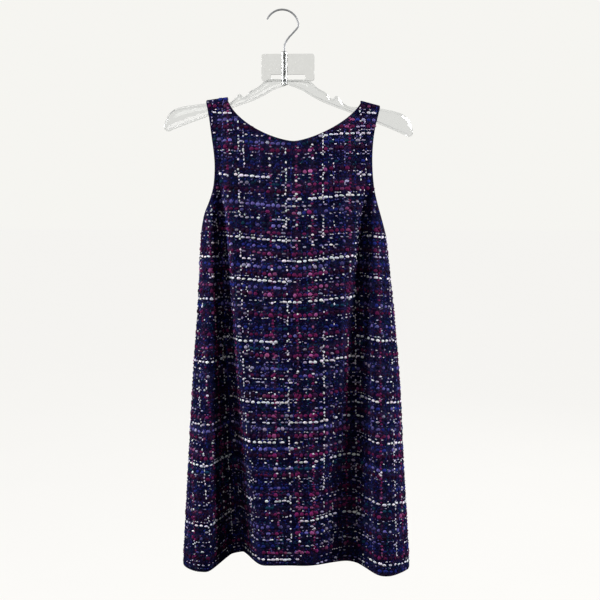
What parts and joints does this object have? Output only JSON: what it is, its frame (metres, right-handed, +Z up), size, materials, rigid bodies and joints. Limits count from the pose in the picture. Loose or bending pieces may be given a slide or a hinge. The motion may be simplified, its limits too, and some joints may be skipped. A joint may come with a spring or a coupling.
{
  "type": "shift dress on a clear plastic hanger",
  "caption": "Sleeveless A-line shift dress in navy slub tweed with a scoop neck, hanging in soft folds from a clear plastic hanger with a wire hook.",
  "frame": {"origin": "seat of the hook: the inside of the top of its bend, where the hanger rests on a rail or a nail", "axes": "+Z up, -Y towards the front of the dress, +X to the right as the front is seen"},
  "size_m": [0.4379, 0.1353, 0.9872],
  "materials": {
    "tweed": "slubbed bouclé tweed, navy with white, lavender, magenta and teal yarns",
    "clear_plastic": "clear moulded polystyrene, glossy",
    "chrome_wire": "plated steel wire, bright"
  },
  "bodies": {
    "root": {"dress_front": "tweed", "dress_back": "tweed", "hanger_body": "clear_plastic", "wire_hook": "chrome_wire"}
  },
  "joints": []
}
